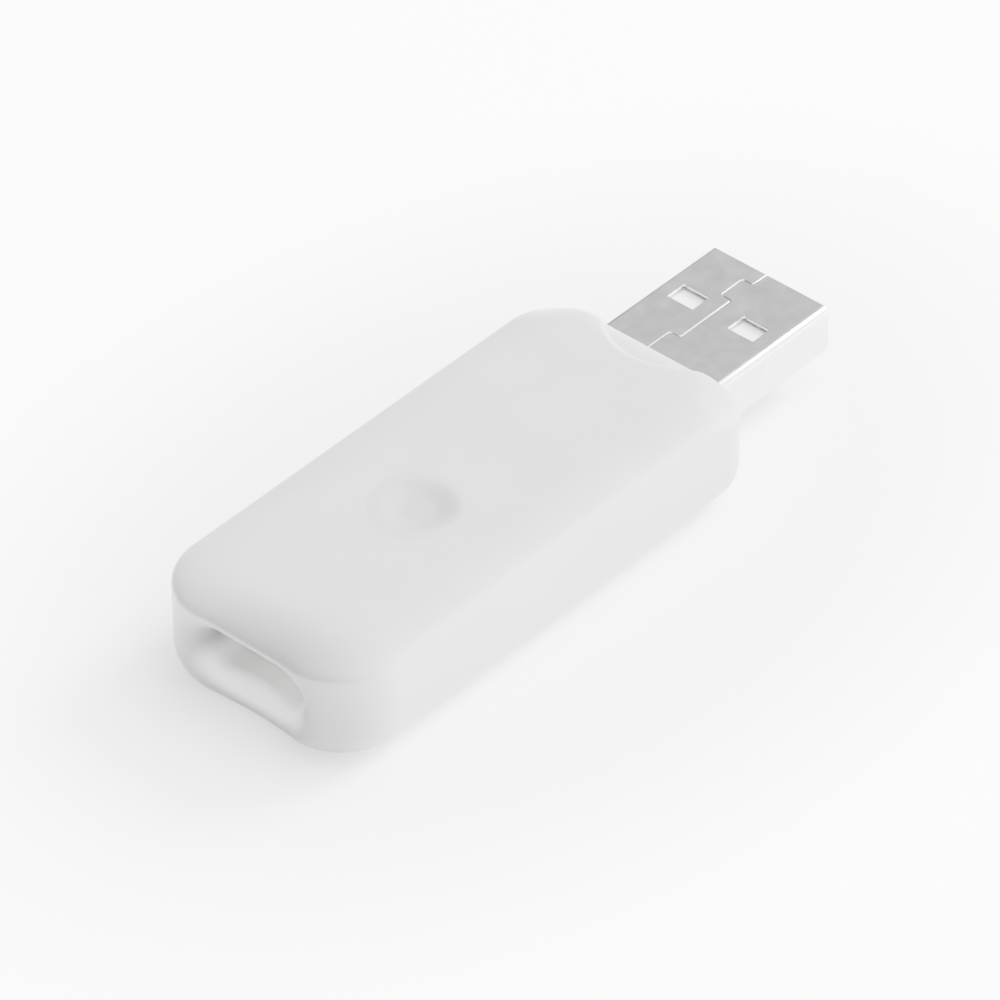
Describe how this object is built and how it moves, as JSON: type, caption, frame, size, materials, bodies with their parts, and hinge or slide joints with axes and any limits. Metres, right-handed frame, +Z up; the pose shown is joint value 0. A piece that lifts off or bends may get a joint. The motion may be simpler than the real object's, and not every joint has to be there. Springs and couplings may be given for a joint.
{
  "type": "usb microcontroller programmer",
  "caption": "Stick-shaped USB programmer: crowned moulded body with a soft press button on top, a folded-steel USB-A plug in front and a recessed target port in the rear end.",
  "frame": {"origin": "centre of the stick's bounding rectangle, on the plane of the flat underside", "axes": "+X along the stick towards the tip of the USB plug, +Z up through the button, +Y to the left of the plug's direction"},
  "size_m": [0.0604, 0.0208, 0.0096],
  "materials": {
    "body_plastic": "satin moulded white plastic",
    "button_rubber": "soft satin white elastomer",
    "plug_steel": "bright nickel-plated sheet",
    "insulator_plastic": "white moulded plastic",
    "socket_plastic": "natural nylon",
    "contact_gold": "gold-plated spring strip",
    "board_laminate": "green solder mask",
    "chip_plastic": "black moulded epoxy",
    "lead_metal": "tinned",
    "can_metal": "plated sheet",
    "capacitor_ceramic": "brown ceramic",
    "fuse_body": "green epoxy",
    "light_body": "clear resin"
  },
  "bodies": {
    "case": {"top_cover": "body_plastic", "bottom_cover": "body_plastic", "usb_shell": "plug_steel", "usb_insulator": "insulator_plastic", "target_socket": "socket_plastic", "usb_contact_power": "contact_gold", "usb_contact_data_minus": "contact_gold", "usb_contact_data_plus": "contact_gold", "usb_contact_ground": "contact_gold", "target_pin_1": "lead_metal", "target_pin_2": "lead_metal", "target_pin_3": "lead_metal", "target_pin_4": "lead_metal", "target_pin_5": "lead_metal", "target_pin_6": "lead_metal", "switch_base": "chip_plastic", "switch_cover": "can_metal", "switch_dome": "can_metal", "switch_terminals": "lead_metal", "microcontroller_body": "chip_plastic", "microcontroller_leads": "lead_metal", "level_shifter_body": "chip_plastic", "level_shifter_leads": "lead_metal", "voltage_regulator_body": "chip_plastic", "voltage_regulator_leads": "lead_metal", "surge_protector_body": "chip_plastic", "surge_protector_leads": "lead_metal", "crystal": "can_metal", "input_fuse": "fuse_body", "status_light": "light_body", "circuit_board": "board_laminate", "capacitor_1": "capacitor_ceramic", "capacitor_2": "capacitor_ceramic", "capacitor_3": "capacitor_ceramic", "capacitor_4": "capacitor_ceramic", "resistor_1": "chip_plastic", "resistor_2": "chip_plastic", "resistor_3": "chip_plastic", "resistor_4": "chip_plastic"},
    "button": {"button_cap": "button_rubber", "switch_plunger": "chip_plastic"}
  },
  "joints": [
    {"name": "button_press", "type": "slide", "parent": "case", "child": "button", "axis": [0, 0, -1], "range_m": [0, 0.00035], "stiffness_N_per_m": 4500, "deforming": ["switch_dome"]}
  ]
}
